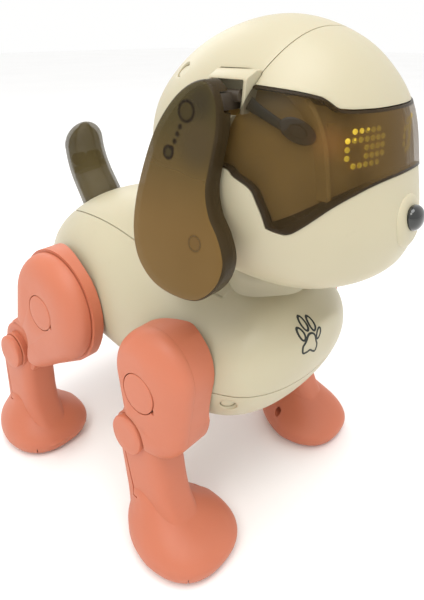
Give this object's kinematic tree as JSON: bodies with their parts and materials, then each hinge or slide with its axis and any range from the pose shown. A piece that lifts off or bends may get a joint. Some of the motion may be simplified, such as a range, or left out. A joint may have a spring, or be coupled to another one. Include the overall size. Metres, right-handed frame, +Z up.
{
  "type": "robot dog toy",
  "caption": "Standing robot puppy with a translucent visor, dot-matrix eyes, hinged ears, a wagging tail and jointed rounded legs.",
  "frame": {"origin": "centre of the overall length and width, on the surface that the soles stand on", "axes": "+Z up; the dog faces -Y and its left side is +X"},
  "size_m": [0.1394, 0.2142, 0.2246],
  "materials": {
    "cream_plastic": "satin, moulded",
    "coral_plastic": "satin, moulded",
    "visor_smoke": "smoky translucent",
    "ear_smoke": "smoky translucent, satin",
    "nose_black": "glossy",
    "board_green": "solder mask",
    "matrix_dark": "matt with yellow dots",
    "sole_rubber": "soft",
    "dark_plastic": "fine grain"
  },
  "bodies": {
    "torso": {"body_shell": "cream_plastic", "back_cover": "cream_plastic", "belly_pan": "cream_plastic", "battery_door": "cream_plastic", "battery_pack": "dark_plastic", "main_board": "board_green", "speaker": "dark_plastic", "neck_collar": "dark_plastic", "charge_socket": "dark_plastic", "front_left_drive": "dark_plastic", "front_right_drive": "dark_plastic", "rear_left_drive": "dark_plastic", "rear_right_drive": "dark_plastic", "tail_drive": "dark_plastic"},
    "switch": {"power_switch": "dark_plastic"},
    "head": {"head_rear_shell": "cream_plastic", "head_dome": "cream_plastic", "face_shell": "cream_plastic", "visor": "visor_smoke", "nose": "nose_black", "eye_board": "board_green", "eye_matrix_left": "matrix_dark", "eye_matrix_right": "matrix_dark", "ear_frame_left": "cream_plastic", "ear_frame_right": "cream_plastic", "neck_post": "dark_plastic"},
    "ear_left": {"ear_left_shell": "ear_smoke", "ear_left_back": "ear_smoke", "ear_left_arm": "ear_smoke"},
    "ear_right": {"ear_right_shell": "ear_smoke", "ear_right_back": "ear_smoke", "ear_right_arm": "ear_smoke"},
    "tail": {"tail_left_half": "ear_smoke", "tail_right_half": "ear_smoke", "tail_hub": "dark_plastic"},
    "front_left_thigh": {"front_left_thigh_outer": "coral_plastic", "front_left_thigh_inner": "coral_plastic", "front_left_hip_cap": "coral_plastic"},
    "front_left_shin": {"front_left_shin": "coral_plastic", "front_left_knee_cap": "coral_plastic", "front_left_sole": "sole_rubber"},
    "front_right_thigh": {"front_right_thigh_outer": "coral_plastic", "front_right_thigh_inner": "coral_plastic", "front_right_hip_cap": "coral_plastic"},
    "front_right_shin": {"front_right_shin": "coral_plastic", "front_right_knee_cap": "coral_plastic", "front_right_sole": "sole_rubber"},
    "rear_left_thigh": {"rear_left_thigh_outer": "coral_plastic", "rear_left_thigh_inner": "coral_plastic", "rear_left_hip_cap": "coral_plastic"},
    "rear_left_shin": {"rear_left_shin": "coral_plastic", "rear_left_knee_cap": "coral_plastic", "rear_left_sole": "sole_rubber"},
    "rear_right_thigh": {"rear_right_thigh_outer": "coral_plastic", "rear_right_thigh_inner": "coral_plastic", "rear_right_hip_cap": "coral_plastic"},
    "rear_right_shin": {"rear_right_shin": "coral_plastic", "rear_right_knee_cap": "coral_plastic", "rear_right_sole": "sole_rubber"}
  },
  "joints": [
    {"name": "neck_turn", "type": "hinge", "parent": "torso", "child": "head", "pos_m": [0, -0.03931, 0.118], "axis": [0, 0, 1], "range_deg": [-20, 20]},
    {"name": "ear_left_lift", "type": "hinge", "parent": "head", "child": "ear_left", "pos_m": [0.042, -0.05731, 0.1982], "axis": [0, -1, 0], "range_deg": [0, 20]},
    {"name": "ear_right_lift", "type": "hinge", "parent": "head", "child": "ear_right", "pos_m": [-0.042, -0.05731, 0.1982], "axis": [0, 1, 0], "range_deg": [0, 20]},
    {"name": "tail_wag", "type": "hinge", "parent": "torso", "child": "tail", "pos_m": [0, 0.07619, 0.1278], "axis": [0, 0.8988, -0.4384], "range_deg": [-15, 15]},
    {"name": "power_slide", "type": "slide", "parent": "torso", "child": "switch", "axis": [1, 0, 0], "range_m": [0, 0.004]},
    {"name": "front_left_hip", "type": "hinge", "parent": "torso", "child": "front_left_thigh", "pos_m": [0.05, -0.02351, 0.0811], "axis": [1, 0, 0], "range_deg": [-35, 30]},
    {"name": "front_left_knee", "type": "hinge", "parent": "front_left_thigh", "child": "front_left_shin", "pos_m": [0.05, -0.01461, 0.0569], "axis": [1, 0, 0], "range_deg": [-10, 10]},
    {"name": "front_right_hip", "type": "hinge", "parent": "torso", "child": "front_right_thigh", "pos_m": [-0.05, -0.02351, 0.0811], "axis": [1, 0, 0], "range_deg": [-35, 30]},
    {"name": "front_right_knee", "type": "hinge", "parent": "front_right_thigh", "child": "front_right_shin", "pos_m": [-0.05, -0.01461, 0.0569], "axis": [1, 0, 0], "range_deg": [-10, 10]},
    {"name": "rear_left_hip", "type": "hinge", "parent": "torso", "child": "rear_left_thigh", "pos_m": [0.05, 0.04469, 0.0926], "axis": [1, 0, 0], "range_deg": [-30, 35]},
    {"name": "rear_left_knee", "type": "hinge", "parent": "rear_left_thigh", "child": "rear_left_shin", "pos_m": [0.05, 0.07939, 0.0578], "axis": [1, 0, 0], "range_deg": [-10, 10]},
    {"name": "rear_right_hip", "type": "hinge", "parent": "torso", "child": "rear_right_thigh", "pos_m": [-0.05, 0.04469, 0.0926], "axis": [1, 0, 0], "range_deg": [-30, 35]},
    {"name": "rear_right_knee", "type": "hinge", "parent": "rear_right_thigh", "child": "rear_right_shin", "pos_m": [-0.05, 0.07939, 0.0578], "axis": [1, 0, 0], "range_deg": [-10, 10]}
  ]
}
